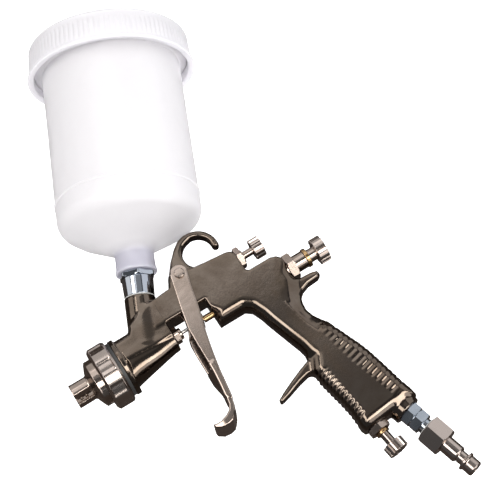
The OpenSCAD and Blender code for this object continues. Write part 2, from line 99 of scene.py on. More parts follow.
def makeSmudgeGroup():
    # patches of fingerprints and haze that raise the roughness
    tree, entry, leave = newGroup("handSmudges",
        [("Vector", "NodeSocketVector", None), ("Scale", "NodeSocketFloat", 45.0),
         ("Low", "NodeSocketFloat", 0.1), ("High", "NodeSocketFloat", 0.2)],
        [("Roughness", "NodeSocketFloat"), ("Mask", "NodeSocketFloat")])
    noise = addNode(tree, "ShaderNodeTexNoise", {"Detail": 6.0, "Roughness": 0.62, "Distortion": 0.4},
                    {"Vector": entry.outputs["Vector"], "Scale": entry.outputs["Scale"]})
    ramp = addNode(tree, "ShaderNodeMapRange", {"From Min": 0.42, "From Max": 0.68},
                   {"Value": noise.outputs[0], "To Min": entry.outputs["Low"],
                    "To Max": entry.outputs["High"]})
    mask = addNode(tree, "ShaderNodeMapRange", {"From Min": 0.42, "From Max": 0.68},
                   {"Value": noise.outputs[0]})
    tree.links.new(ramp.outputs[0], leave.inputs["Roughness"])
    tree.links.new(mask.outputs[0], leave.inputs["Mask"])
    return tree


def makeEdgeGroup():
    # thin bright rub along the sharper edges, broken up by noise
    tree, entry, leave = newGroup("edgeRub",
        [("Vector", "NodeSocketVector", None), ("Amount", "NodeSocketFloat", 0.5)],
        [("Mask", "NodeSocketFloat")])
    geometry = addNode(tree, "ShaderNodeNewGeometry")
    sharp = addNode(tree, "ShaderNodeMapRange", {"From Min": 0.53, "From Max": 0.62},
                    {"Value": geometry.outputs["Pointiness"]})
    noise = addNode(tree, "ShaderNodeTexNoise", {"Scale": 260.0, "Detail": 5.0},
                    {"Vector": entry.outputs["Vector"]})
    broken = mathNode(tree, "MULTIPLY", sharp.outputs[0], noise.outputs[0])
    leaveMask = mathNode(tree, "MULTIPLY", broken, entry.outputs["Amount"], clamp=True)
    tree.links.new(leaveMask, leave.inputs["Mask"])
    return tree


grain = makeGrainGroup()
smudges = makeSmudgeGroup()
edgeRub = makeEdgeGroup()


def makeMaterial(name, look):
    mat = bpy.data.materials.new(name)
    mat.use_nodes = True
    tree = mat.node_tree
    shader = tree.nodes["Principled BSDF"]
    coords = addNode(tree, "ShaderNodeTexCoord").outputs["Object"]
    skin = addNode(tree, "ShaderNodeGroup", {}, {}, node_tree=grain)
    tree.links.new(coords, skin.inputs["Vector"])
    skin.inputs["Scale"].default_value = look["grainScale"]
    skin.inputs["Depth"].default_value = look["grainDepth"]
    skin.inputs["Wave"].default_value = look["wave"]
    tree.links.new(skin.outputs["Normal"], shader.inputs["Normal"])
    haze = addNode(tree, "ShaderNodeGroup", {}, {}, node_tree=smudges)
    tree.links.new(coords, haze.inputs["Vector"])
    haze.inputs["Low"].default_value = look["rough"][0]
    haze.inputs["High"].default_value = look["rough"][1]
    tree.links.new(haze.outputs["Roughness"], shader.inputs["Roughness"])
    tint = addNode(tree, "ShaderNodeMix", {}, {}, data_type="RGBA")
    tint.inputs["A"].default_value = (*look["color"], 1)
    tint.inputs["B"].default_value = (*look["hazeColor"], 1)
    tree.links.new(haze.outputs["Mask"], tint.inputs["Factor"])
    color = tint.outputs["Result"]
    if look.get("rub"):
        rub = addNode(tree, "ShaderNodeGroup", {}, {}, node_tree=edgeRub)
        tree.links.new(coords, rub.inputs["Vector"])
        rub.inputs["Amount"].default_value = look["rub"]
        bright = addNode(tree, "ShaderNodeMix", {}, {}, data_type="RGBA")
        tree.links.new(rub.outputs["Mask"], bright.inputs["Factor"])
        tree.links.new(color, bright.inputs["A"])
        bright.inputs["B"].default_value = (*look["rubColor"], 1)
        color = bright.outputs["Result"]
    tree.links.new(color, shader.inputs["Base Color"])
    shader.inputs["Metallic"].default_value = look.get("metal", 0)
    if look.get("milky"):
        shader.inputs["Subsurface Weight"].default_value = look["milky"]
        shader.inputs["Subsurface Radius"].default_value = (1, 1, 1)
        shader.inputs["Subsurface Scale"].default_value = 0.012
    if look.get("clear"):
        shader.inputs["Transmission Weight"].default_value = look["clear"]
    shader.inputs["IOR"].default_value = 1.49
    return mat


looks = {
    "body": dict(color=(0.150, 0.122, 0.100), hazeColor=(0.110, 0.084, 0.064), metal=1, rough=(0.09, 0.17),
                 grainScale=700, grainDepth=0.10, wave=0.05, rub=0.5, rubColor=(0.62, 0.55, 0.48)),
    "nickel": dict(color=(0.37, 0.305, 0.265), hazeColor=(0.30, 0.24, 0.20), metal=1, rough=(0.12, 0.24),
                   grainScale=900, grainDepth=0.08, wave=0.03, rub=0.4, rubColor=(0.8, 0.75, 0.7)),
    "ring": dict(color=(0.42, 0.36, 0.325), hazeColor=(0.36, 0.305, 0.27), metal=1, rough=(0.15, 0.27),
                 grainScale=900, grainDepth=0.08, wave=0.03, rub=0.4, rubColor=(0.85, 0.8, 0.75)),
    "zinc": dict(color=(0.36, 0.39, 0.43), hazeColor=(0.31, 0.34, 0.38), metal=1, rough=(0.12, 0.24),
                 grainScale=900, grainDepth=0.06, wave=0.02),
    "brass": dict(color=(0.40, 0.26, 0.13), hazeColor=(0.34, 0.22, 0.11), metal=1, rough=(0.16, 0.28),
                  grainScale=900, grainDepth=0.06, wave=0.02),
    "steel": dict(color=(0.48, 0.46, 0.44), hazeColor=(0.42, 0.40, 0.38), metal=1, rough=(0.16, 0.28),
                  grainScale=1200, grainDepth=0.06, wave=0.02),
    "neck": dict(color=(0.40, 0.43, 0.48), hazeColor=(0.37, 0.40, 0.45), metal=1, rough=(0.05, 0.12),
                 grainScale=900, grainDepth=0.03, wave=0.02),
    "cup": dict(color=(0.735, 0.72, 0.76), hazeColor=(0.72, 0.705, 0.745), rough=(0.28, 0.40),
                grainScale=500, grainDepth=0.05, wave=0.03, milky=0.6),
    "lid": dict(color=(0.64, 0.63, 0.665), hazeColor=(0.625, 0.615, 0.65), rough=(0.32, 0.45),
                grainScale=500, grainDepth=0.06, wave=0.03, milky=0.4),
    "seal": dict(color=(0.42, 0.42, 0.41), hazeColor=(0.39, 0.39, 0.38), rough=(0.4, 0.5),
                 grainScale=600, grainDepth=0.05, wave=0.02),
    "black": dict(color=(0.02, 0.02, 0.02), hazeColor=(0.03, 0.03, 0.03), rough=(0.45, 0.6),
                  grainScale=900, grainDepth=0.1, wave=0.02),
}
mats = {name: makeMaterial(name + "Finish", look) for name, look in looks.items()}
slotOf = {s["node"]: s["material_slot"] for s in frame["record"]["subparts"]}
bodyOf = {n: b for b, nodes in frame["record"]["behaviour"]["bodies"].items() for n in nodes}
for nodeName, slotName in slotOf.items():
    cadObject = bpy.data.objects[nodeName]
    for s in cadObject.material_slots:
        s.material = mats[slotName]
print("materials done")



def addPiece(name, verts, faces, standsFor, sharpAngle=35, mat=None, body=None):
    mesh = bpy.data.meshes.new(name)
    verts = np.asarray(verts, float) * mm
    mesh.from_pydata(verts.tolist(), [], faces.tolist() if hasattr(faces, "tolist") else faces)
    return finishPiece(name, mesh, standsFor, sharpAngle, mat, body)


def finishPiece(name, mesh, standsFor, sharpAngle=35, mat=None, body=None):
    mesh.validate()
    mesh.update()
    mesh.polygons.foreach_set("use_smooth", [True] * len(mesh.polygons))
    if sharpAngle:
        mesh.set_sharp_from_angle(angle=math.radians(sharpAngle))
    obj = bpy.data.objects.new(name, mesh)
    bpy.context.scene.collection.objects.link(obj)
    nodes = [standsFor] if isinstance(standsFor, str) else list(standsFor)
    slotName = mat or slotOf[nodes[0]]
    if not mesh.materials:
        mesh.materials.append(mats[slotName])
    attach(obj, body or bodyOf[nodes[0]])
    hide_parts(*nodes)
    return obj


def axisFrame(start, direction, turn=0):
    # columns that carry a shape drawn up +Z to its place in the gun
    d = np.array(direction, float)
    d /= np.linalg.norm(d)
    side = np.cross([0, 1, 0], d)
    if np.linalg.norm(side) < 0.1:
        side = np.array([1.0, 0, 0])
    side /= np.linalg.norm(side)
    up = np.cross(d, side)
    a = math.radians(turn)
    side, up = side * math.cos(a) + up * math.sin(a), up * math.cos(a) - side * math.sin(a)
    return np.array(start, float), np.stack([side, up, d])


def carry(points, place):
    start, axes = place
    return np.asarray(points) @ axes + start


def soften(profile, edge=0.3, steps=4, guard=0.27):
    # rounds each corner of a closed (radius, height) outline
    # guard puts a point either side, so that the straight parts shade flat
    out = []
    count = len(profile)
    for i, point in enumerate(profile):
        r = point[2] if len(point) > 2 else edge
        p = np.array(point[:2], float)
        before = np.array(profile[i - 1][:2], float) - p
        after = np.array(profile[(i + 1) % count][:2], float) - p
        la, lb = np.linalg.norm(before), np.linalg.norm(after)
        if p[0] < 1e-6 or r == 0:
            out.append(p)
            continue
        before, after = before / la, after / lb
        cosine = np.clip(before @ after, -1, 1)
        if cosine < -0.995:
            out.append(p)
            continue
        half = math.acos(cosine) / 2
        reach = min(r / math.tan(half), la * 0.45, lb * 0.45)
        r = reach * math.tan(half)
        a, b = p + before * reach, p + after * reach
        middle = p + (before + after) / np.linalg.norm(before + after) * (r / math.sin(half))
        if la > 1.2:
            out.append(a + before * min(guard, (la / 2 - reach) * 0.9))
        for k in range(steps + 1):
            t = k / steps
            q = a * (1 - t) + b * t - middle
            out.append(middle + q / np.linalg.norm(q) * r)
        if lb > 1.2:
            out.append(b + after * min(guard, (lb / 2 - reach) * 0.9))
    return [tuple(p) for p in out]


def turned(profile, sides=96, flats=None, flatRange=None, corners=6, spin=0):
    # lathes a closed outline; flats cuts it down to a polygon that wide across, between two heights
    ring = np.arange(sides) * 2 * math.pi / sides
    verts, faces, starts = [], [], []
    for r, h in profile:
        if r < 1e-6:
            starts.append((len(verts), True))
            verts.append((0, 0, h))
            continue
        starts.append((len(verts), False))
        for a in ring:
            q = r
            if flats and flatRange[0] - 1e-6 <= h <= flatRange[1] + 1e-6:
                wedge = math.pi / corners
                limit = flats / 2 / math.cos((a + spin + wedge) % (2 * wedge) - wedge)
                q = min(r, limit)
            verts.append((q * math.cos(a), q * math.sin(a), h))
    for k in range(len(profile)):
        (a, poleA), (b, poleB) = starts[k], starts[(k + 1) % len(profile)]
        if poleA and poleB:
            continue
        for i in range(sides):
            j = (i + 1) % sides
            if poleA:
                faces.append((a, b + j, b + i))
            elif poleB:
                faces.append((a + i, a + j, b))
            else:
                faces.append((a + i, a + j, b + j, b + i))
    return np.array(verts), faces


def facingOut(verts, faces):
    # flips every face if the shell's signed volume is negative
    v = np.asarray(verts)
    volume = 0.0
    for f in faces:
        for k in range(1, len(f) - 1):
            volume += v[f[0]] @ np.cross(v[f[k]], v[f[k + 1]])
    return faces if volume > 0 else [tuple(reversed(f)) for f in faces]


def joined(parts):
    verts, faces, offset = [], [], 0
    for v, f in parts:
        verts.append(np.asarray(v))
        faces += [tuple(i + offset for i in face) for face in facingOut(v, f)]
        offset += len(v)
    return np.concatenate(verts), faces



def outlineDistance(points, x, z):
    best = np.full(np.broadcast(x, z).shape, 1e9)
    inside = np.zeros(best.shape, bool)
    for (ax, az), (bx, bz) in zip(points, points[1:] + points[:1]):
        ex, ez = bx - ax, bz - az
        wx, wz = x - ax, z - az
        t = np.clip((wx * ex + wz * ez) / (ex * ex + ez * ez), 0, 1)
        best = np.minimum(best, (wx - t * ex) ** 2 + (wz - t * ez) ** 2)
        if az != bz:
            inside ^= ((az > z) != (bz > z)) & (x < ex * (z - az) / ez + ax)
    return np.where(inside, -np.sqrt(best), np.sqrt(best))


def rounded(u, v, edge):
    # meeting of two distances with a round edge
    u, v = u + edge, v + edge
    return np.minimum(np.maximum(u, v), 0) + np.hypot(np.maximum(u, 0), np.maximum(v, 0)) - edge


def merge(a, b, k):
    h = np.maximum(k - np.abs(a - b), 0) / k
    return np.minimum(a, b) - h * h * k / 4


def carve(a, b, k=0.4):
    return -merge(-a, b, k)


def rodDistance(x, y, z, start, direction, length, r, edge=0.4):
    dx, dy, dz = direction
    px, py, pz = x - start[0], y - start[1], z - start[2]
    s = px * dx + py * dy + pz * dz
    radial = np.sqrt(np.maximum(px * px + py * py + pz * pz - s * s, 0))
    return rounded(radial - r, np.abs(s - length / 2) - length / 2, edge)


def smoothStep(a, b, t):
    u = np.clip((t - a) / (b - a), 0, 1)
    return u * u * (3 - 2 * u)


def skin(distance, low, high, cell):
    # one vertex per crossed cell, pulled onto the surface, and a quad per crossed grid edge
    counts = [int(math.ceil((b - a) / cell)) + 1 for a, b in zip(low, high)]
    xs, ys, zs = (a + cell * np.arange(n) for a, n in zip(low, counts))
    field = distance(xs[:, None, None], ys[None, :, None], zs[None, None, :])
    field = np.broadcast_to(field, tuple(counts))
    full = field < 0
    cells = np.zeros([n - 1 for n in counts], int)
    for corner in np.ndindex(2, 2, 2):
        part = tuple(slice(c, n - 1 + c) for c, n in zip(corner, counts))
        cells += full[part]
    crossed = (cells > 0) & (cells < 8)
    number = np.full(cells.shape, -1)
    where = np.argwhere(crossed)
    number[crossed] = np.arange(len(where))
    total = np.zeros((len(where), 3))
    weight = np.zeros(len(where))
    i, j, k = where.T
    for axis in range(3):
        for da in (0, 1):
            for db in (0, 1):
                start = [0, 0, 0]
                others = [n for n in range(3) if n != axis]
                start[others[0]], start[others[1]] = da, db
                end = list(start)
                end[axis] = 1
                a = field[i + start[0], j + start[1], k + start[2]]
                b = field[i + end[0], j + end[1], k + end[2]]
                cut = (a < 0) != (b < 0)
                t = np.where(cut, a / np.where(cut, a - b, 1), 0)
                point = np.tile(np.array(start, float), (len(where), 1))
                point[:, axis] = t
                total += point * cut[:, None]
                weight += cut
    verts = np.array(low) + cell * (where + total / weight[:, None])
    faces = []
    for axis in range(3):
        lead = [slice(None)] * 3
        tail = [slice(None)] * 3
        lead[axis], tail[axis] = slice(0, -1), slice(1, None)
        change = full[tuple(lead)] != full[tuple(tail)]
        edges = np.argwhere(change)
        u, v = [n for n in range(3) if n != axis]
        inner = ((edges[:, u] > 0) & (edges[:, v] > 0)
                 & (edges[:, u] < counts[u] - 1) & (edges[:, v] < counts[v] - 1))
        edges = edges[inner]
        quad = []
        for du, dv in ((0, 0), (1, 0), (1, 1), (0, 1)):
            at = edges.copy()
            at[:, u] -= du
            at[:, v] -= dv
            quad.append(number[at[:, 0], at[:, 1], at[:, 2]])
        quad = np.stack(quad, 1)
        inward = full[edges[:, 0], edges[:, 1], edges[:, 2]]
        flip = inward if axis != 1 else ~inward
        quad[~flip] = quad[~flip][:, ::-1]
        faces.append(quad)
    faces = np.concatenate(faces)
    for step in range(4):
        x, y, z = verts.T
        h = cell * 0.05
        here = distance(x, y, z)
        slope = np.stack([distance(x + h, y, z) - here, distance(x, y + h, z) - here,
                          distance(x, y, z + h) - here], 1) / h
        size = np.maximum((slope ** 2).sum(1), 0.2)
        move = slope * (here / size)[:, None]
        verts = verts - np.clip(move, -0.4 * cell, 0.4 * cell)
    return verts, faces


cupLean, gripLean, airLean = (math.radians(a) for a in (23.5, 15.4, 8.3))
cupUp = (-math.sin(cupLean), 0, math.cos(cupLean))
inletDown = (-math.sin(gripLean), 0, -math.cos(gripLean))
airDown = (-math.sin(airLean), 0, -math.cos(airLean))
cupStart, inletStart, airStart = (-40, 0, 0), (-151.9, 0, -113.75), (-131.8, 0, -111.1)
forward, backward = (1, 0, 0), (-1, 0, 0)


def along(start, direction, s):
    return tuple(a + b * s for a, b in zip(start, direction))


casting = {
    "spine": [(-52, 8), (-52, 24.3), (-62.5, 24.8), (-71.6, 25.6), (-76, 33), (-84, 33), (-89, 29.6),
              (-98.9, 28.4), (-112.5, 27.1), (-115.2, 26), (-117, 23.8), (-117, 11.2), (-118.5, 9.7),
              (-133, 9.7), (-137, 8.3), (-139.5, 5.6), (-139.5, -9), (-134.5, -20), (-133.9, -29),
              (-135.5, -34.5), (-138.3, -39.5), (-141.2, -42.2), (-145, -50.7), (-147.6, -57.6),
              (-150.3, -64.5), (-152.6, -71.9), (-154.5, -79.8), (-156.3, -87.9), (-158, -95.9),
              (-160.1, -103.5), (-161, -108.6), (-128, -112.1), (-124, -111.3), (-122.8, -108.5),
              (-122.4, -97), (-121, -88), (-119.3, -79.7), (-117.6, -71.3), (-117.6, -64), (-121, -57),
              (-119.9, -54.3), (-118.5, -47.4), (-116.1, -39.9), (-113.7, -32.4), (-111.3, -24.8),
              (-109.6, -18.4), (-107, -12), (-103.5, -9.3), (-86.5, -9.3), (-86.5, 8), (-59, 8)],
    "head": [(-26, -1), (-26, 16), (-37, 16.4), (-41, 18.5), (-56, 24), (-59, 22), (-59, -1)],
    "tail": [(-137, -9), (-141.8, -9.8), (-149.5, -10.2), (-153.7, -11.4), (-154.2, -14), (-151.8, -15.5),
             (-144.4, -16), (-139.8, -17.7), (-136.7, -20.2), (-134.6, -24.2), (-134, -29.1),
             (-135.5, -34.5), (-138.2, -39.2), (-141.2, -45), (-130, -45), (-127, -20), (-130, -9)],
    "finger": [(-124, -50), (-119.9, -54.3), (-118.7, -56.5), (-111.4, -59.1), (-102.2, -62.7),
               (-95.4, -65.7), (-91.6, -67.7), (-91.3, -69.4), (-92.5, -70.1), (-98.6, -68.5), (-107.5, -65.4),
               (-114.1, -63.9), (-118.4, -64.6), (-126, -68)],
    "hookShank": [(-70, 23), (-74.4, 32.2), (-78.2, 37.4), (-81.3, 41.5), (-86.9, 47.2), (-92.2, 50.8),
                  (-97, 52), (-98, 48.4), (-93, 46.6), (-89.8, 43.2), (-88.6, 39), (-89, 34), (-91, 31),
                  (-92, 24)],
}
hookRing = dict(centre=(-98.8, 38.4), inner=9.7, outer=14.0)


def castingDistance(x, y, z):
    spine = outlineDistance(casting["spine"], x, z)
    width = 9.0 + 1.6 * smoothStep(-28, -95, z) * smoothStep(-112, -120, x)
    # the lower edges are rounder than the upper ones
    low = smoothStep(4, -4, z) * smoothStep(-84, -88, x)
    edge = 1.2 + 5.4 * low
    d = rounded(spine, np.abs(y) - width, edge)
    # tail horn and the scooped web behind the saddle line
    tail = rounded(outlineDistance(casting["tail"], x, z), np.abs(y) - 4.6, 2.2)
    d = merge(d, tail, 4)
    finger = rounded(outlineDistance(casting["finger"], x, z),
                     np.abs(y) - 5.2 + 1.6 * smoothStep(-112, -92, x), 1.5)
    d = merge(d, finger, 3)
    # head: flat-sided web over a round taper
    radial = np.sqrt(y * y + z * z)
    taperR = np.interp(x, [-59, -54.9, -46.9, -34.8, -26], [8.6, 9, 10.5, 13, 14.9])
    taper = rounded((radial - taperR) * 0.98, np.abs(x + 42.5) - 16.5, 0.8)
    # flat cheeks, a little wider towards the ring
    cheek = np.abs(y) - 9.1 - 2.9 * smoothStep(-50, -30, x)
    taper = rounded(taper, cheek, 3.0)
    web = rounded(outlineDistance(casting["head"], x, z), cheek, 1.4)
    web = -merge(-web, -(radial - 16.3 - 12 * smoothStep(-36, -46, x)), 0.8)
    d = merge(d, merge(taper, web, 1.5), 1.5)
    boss = rodDistance(x, y, z, along(cupStart, cupUp, 4), cupUp, 31.5, 9.5, 0.5)
    d = merge(d, boss, 2.2)
    flange = rodDistance(x, y, z, (-26, 0, 0), forward, 3.2, 18.2, 0.5)
    d = merge(d, flange, 1)
    d = np.minimum(d, rodDistance(x, y, z, (-25, 0, 0), forward, 10.8, 16.8, 0.3))
    # hanging hook
    cx, cz = hookRing["centre"]
    reach = np.hypot(x - cx, z - cz)
    middle = (hookRing["inner"] + hookRing["outer"]) / 2
    half = (hookRing["outer"] - hookRing["inner"]) / 2
    band = np.abs(reach - middle) - half
    opened = np.maximum(band, -np.maximum(x - cx, z - (cz - 1.2)))
    opened = np.minimum(opened, np.hypot(x - (cx - middle), z - (cz - 1.2)) - half - 0.1)
    shank = outlineDistance(casting["hookShank"], x, z)
    hook = rounded(merge(opened, shank, 1.5), np.abs(y) - 4, 2.0)
    d = merge(d, hook, 2.5)
    # boss for the air inlet
    d = merge(d, rodDistance(x, y, z, along(inletStart, inletDown, -14), inletDown, 14, 9.15, 0.6), 2)
    # side contour between the flat face and the scooped back of the grip
    saddle = outlineDistance([(-139, -7.5), (-134, -9.2), (-129.8, -11.2), (-127.2, -14.2), (-126.5, -18.5),
                              (-127.8, -24),
                              (-131, -38), (-134, -45), (-150, -45), (-152, -8)], x, z)
    fade = smoothStep(3, 7, np.abs(y)) * smoothStep(-150, -141, x) * smoothStep(-10, -28, z)
    d = d + 0.8 * smoothStep(1.4, -2.0, saddle) * fade
    # ribs over the back of the grip and narrower ones round its front
    s = (x + 138) * -0.26 - (z + 40) * 0.965
    back = outlineDistance([(-134, -41), (-141.5, -41), (-152, -68), (-160, -101), (-149, -104),
                            (-140, -72)], x, z)
    wave = 0.5 - 0.5 * np.cos(2 * math.pi * s / 3.7)
    d = d + 0.45 * wave ** 3 * smoothStep(1.2, -2.2, back)
    front = outlineDistance([(-115, -67), (-124.5, -68), (-129, -104), (-119, -106)], x, z)
    thin = 0.5 - 0.5 * np.cos(2 * math.pi * s / 3.1)
    d = d + 0.6 * thin * smoothStep(1.0, -1.2, front)
    # bores that hold the other parts
    for start, direction, length, r in castingBores:
        d = carve(d, rodDistance(x, y, z, start, direction, length, r, 0.05), 0.3)
    return d


castingBores = [
    ((-18.6, 0, 0), forward, 10, 14.5), ((-30, 0, 0), forward, 14, 6), ((-60, 0, 0), forward, 8, 3),
    ((-53, 0, 0), forward, 24, 2.2),
    (along(cupStart, cupUp, 24), cupUp, 20, 8.05), (along(cupStart, cupUp, 4), cupUp, 24, 4.6),
    ((-81.5, -15, 29.3), (0, 1, 0), 30, 2.5),
    ((-94, 0, 0), forward, 9, 3.6), ((-103, 0, 0), forward, 10, 5), ((-141, 0, 0), forward, 39, 6.6),
    ((-118, 0, 22), forward, 14, 4), ((-105, 0, 22), forward, 11, 2.5),
    (along(inletStart, inletDown, -10), inletDown, 12, 6), (along(airStart, airDown, -18), airDown, 20, 5),
    (along(airStart, airDown, -24), airDown, 8, 2.6), (airStart, airDown, 6, 7.8),
]
verts, faces = skin(castingDistance, (-163, -20, -124), (-13, 20, 54), 0.72)
print("casting", len(verts), len(faces))
addPiece("castBody", verts, faces, "gun_body", sharpAngle=0)


trigger = {
    "leg": [(-86.6, 29.6), (-86.4, 31.4), (-84.9, 33.5), (-82.8, 34.6), (-80.3, 34.6), (-78, 33.6),
            (-76.4, 31),
            (-75.1, 25.6), (-70.8, 8), (-68.3, -3.7), (-67.6, -14.9), (-67.4, -27.1), (-67.2, -34),
            (-66.4, -42.5), (-65.3, -51), (-68.2, -53.5), (-70.6, -38.5), (-73.5, -23), (-76.6, -9.2),
            (-80.5, 5.5), (-83.7, 20)],
    "blade": [(-67.4, -29), (-67.1, -36), (-66.2, -44), (-65.2, -51.6), (-64.4, -56.2), (-62.7, -59.2),
              (-59.4, -61.2), (-55.4, -62.4), (-52.4, -62.3), (-50.2, -61.5), (-50.5, -64.1), (-54, -66.3),
              (-58.3, -66.6), (-61.6, -65.9), (-63.8, -63.7), (-65.6, -61.4), (-67.4, -57.3),
              (-68.8, -50.8), (-69.8, -42), (-70.2, -34), (-70, -29)],
}


def triggerDistance(x, y, z):
    # the right leg bows a little further forward than the left one
    bow = 2.4 * smoothStep(4, -8, z) * smoothStep(-46, -34, z) * smoothStep(2, -6, y)
    leg = outlineDistance(trigger["leg"], x - bow, z) - 0.35 * smoothStep(-20, 10, z)
    d = rounded(leg, np.abs(np.abs(y) - 10.75) - 1.25, 0.6)
    blade = outlineDistance(trigger["blade"], x - bow, z)
    face = rounded(blade, np.abs(y) - 12 + 1.2 * smoothStep(-58, -50, x), 0.9)
    d = merge(d, face, 1.5)
    d = merge(d, rodDistance(x, y, z, (-76.9, -10, 0), (0, 1, 0), 20, 3, 0.2), 0.6)
    d = carve(d, rodDistance(x, y, z, (-81.5, -15, 29.3), (0, 1, 0), 30, 2.55, 0.05), 0.3)
    slot = np.maximum(np.abs(y) - 1.5, np.abs(z) - 2.3)
    return carve(d, np.maximum(slot, np.abs(x + 76.9) - 4), 0.3)


verts, faces = skin(triggerDistance, (-88, -13, -68.5), (-48.5, 13, 36.5), 0.48)
print("trigger", len(verts), len(faces))
addPiece("triggerLever", verts, faces, "trigger", sharpAngle=0)


def newTool(name, inputs):
    tree = bpy.data.node_groups.new(name, "GeometryNodeTree")
    tree.interface.new_socket("Geometry", in_out="INPUT", socket_type="NodeSocketGeometry")
    for label, kind, value in inputs:
        socket = tree.interface.new_socket(label, in_out="INPUT", socket_type=kind)
        if value is not None:
            socket.default_value = value
    tree.interface.new_socket("Geometry", in_out="OUTPUT", socket_type="NodeSocketGeometry")
    return tree, tree.nodes.new("NodeGroupInput"), tree.nodes.new("NodeGroupOutput")


def closeTool(tree, entry, leave, geometry):
    real = addNode(tree, "GeometryNodeRealizeInstances", {}, {0: geometry})
    paint = addNode(tree, "GeometryNodeSetMaterial", {},
                    {"Geometry": real.outputs[0], "Material": entry.outputs["Material"]})
    tree.links.new(paint.outputs[0], leave.inputs[0])


def makeFluteTool():
    # presses waves into the outside of a lathed shape between two heights
    tree, entry, leave = newTool("fluteRim",
        [("Flutes", "NodeSocketInt", 14), ("Depth", "NodeSocketFloat", 0.0006),
         ("Width", "NodeSocketFloat", 0.5),
         ("Start", "NodeSocketFloat", 0.0), ("End", "NodeSocketFloat", 0.006),
         ("Fade", "NodeSocketFloat", 0.0005), ("Least Radius", "NodeSocketFloat", 0.004),
         ("Material", "NodeSocketMaterial", None)])
    place = addNode(tree, "GeometryNodeInputPosition").outputs[0]
    split = addNode(tree, "ShaderNodeSeparateXYZ", {}, {0: place})
    x, y, z = split.outputs
    angle = mathNode(tree, "ARCTAN2", y, x)
    phase = mathNode(tree, "COSINE", mathNode(tree, "MULTIPLY", angle, entry.outputs["Flutes"]))
    wave = addNode(tree, "ShaderNodeMapRange", {"To Min": 0.0, "To Max": 1.0}, {"Value": phase},
                   interpolation_type="SMOOTHSTEP")
    tree.links.new(mathNode(tree, "SUBTRACT", 0.3, entry.outputs["Width"]), wave.inputs["From Min"])
    tree.links.new(mathNode(tree, "SUBTRACT", 1.3, entry.outputs["Width"]), wave.inputs["From Max"])
    low = mathNode(tree, "DIVIDE", mathNode(tree, "SUBTRACT", z, entry.outputs["Start"]),
                   entry.outputs["Fade"], clamp=True)
    high = mathNode(tree, "DIVIDE", mathNode(tree, "SUBTRACT", entry.outputs["End"], z),
                    entry.outputs["Fade"], clamp=True)
    flat = addNode(tree, "ShaderNodeCombineXYZ", {}, {0: x, 1: y})
    radius = addNode(tree, "ShaderNodeVectorMath", {}, {0: flat.outputs[0]},
                     operation="LENGTH").outputs["Value"]
    outer = mathNode(tree, "GREATER_THAN", radius, entry.outputs["Least Radius"])
    mask = mathNode(tree, "MULTIPLY", mathNode(tree, "MULTIPLY", low, high),
                    mathNode(tree, "MULTIPLY", outer, wave.outputs[0]))
    amount = mathNode(tree, "MULTIPLY", mathNode(tree, "MULTIPLY", mask, entry.outputs["Depth"]), -1.0)
    outward = addNode(tree, "ShaderNodeVectorMath", {}, {0: flat.outputs[0]},
                      operation="NORMALIZE").outputs[0]
    push = addNode(tree, "ShaderNodeVectorMath", {}, {0: outward}, operation="SCALE")
    tree.links.new(amount, push.inputs["Scale"])
    moved = addNode(tree, "GeometryNodeSetPosition", {},
                    {"Geometry": entry.outputs["Geometry"], "Offset": push.outputs[0]})
    closeTool(tree, entry, leave, moved.outputs[0])
    return tree


def makeCoilTool():
    # winds a wire spring up the Z axis
    tree, entry, leave = newTool("wireCoil",
        [("Turns", "NodeSocketFloat", 8.0), ("Radius", "NodeSocketFloat", 0.003),
         ("Wire Radius", "NodeSocketFloat", 0.0004),
         ("Length", "NodeSocketFloat", 0.02), ("Material", "NodeSocketMaterial", None)])
    spiral = addNode(tree, "GeometryNodeCurveSpiral", {"Resolution": 28},
                     {"Rotations": entry.outputs["Turns"], "Start Radius": entry.outputs["Radius"],
                      "End Radius": entry.outputs["Radius"], "Height": entry.outputs["Length"]})
    wire = addNode(tree, "GeometryNodeCurvePrimitiveCircle", {"Resolution": 10},
                   {"Radius": entry.outputs["Wire Radius"]})
    solid = addNode(tree, "GeometryNodeCurveToMesh", {"Fill Caps": True},
                    {"Curve": spiral.outputs[0], "Profile Curve": wire.outputs[0]})
    closeTool(tree, entry, leave, solid.outputs[0])
    return tree


fluteRim = makeFluteTool()
wireCoil = makeCoilTool()


def shaped(name, tool, verts, faces, slotName, settings):
    # runs one tool over a mesh and returns the result's points and faces, in millimetres
    mesh = bpy.data.meshes.new(name + "Base")
    mesh.from_pydata((np.asarray(verts) * mm).tolist() if len(verts) else [], [], faces)
    obj = bpy.data.objects.new(name + "Base", mesh)
    bpy.context.scene.collection.objects.link(obj)
    modifier = obj.modifiers.new("tool", "NODES")
    modifier.node_group = tool
    sockets = {s.name: s.identifier for s in tool.interface.items_tree if s.in_out == "INPUT"}
    for key, value in settings.items():
        modifier[sockets[key]] = value
    modifier[sockets["Material"]] = mats[slotName]
    depsgraph = bpy.context.evaluated_depsgraph_get()
    depsgraph.update()
    made = bpy.data.meshes.new_from_object(obj.evaluated_get(depsgraph))
    points = np.zeros(len(made.vertices) * 3)
    made.vertices.foreach_get("co", points)
    points = points.reshape(-1, 3) / mm
    newFaces = [tuple(p.vertices) for p in made.polygons]
    bpy.data.objects.remove(obj)
    bpy.data.meshes.remove(mesh)
    bpy.data.meshes.remove(made)
    return points, newFaces


def resampled(profile, start, end, step=0.5):
    # adds points along the upright stretches of an outline so that flutes can end there
    out = []
    for i, p in enumerate(profile):
        q = profile[(i + 1) % len(profile)]
        out.append(p)
        length = math.hypot(q[0] - p[0], q[1] - p[1])
        if length > 2 * step and min(p[1], q[1]) < end and max(p[1], q[1]) > start:
            count = int(length / step)
            out += [(p[0] + (q[0] - p[0]) * k / count, p[1] + (q[1] - p[1]) * k / count)
                    for k in range(1, count)]
    return out


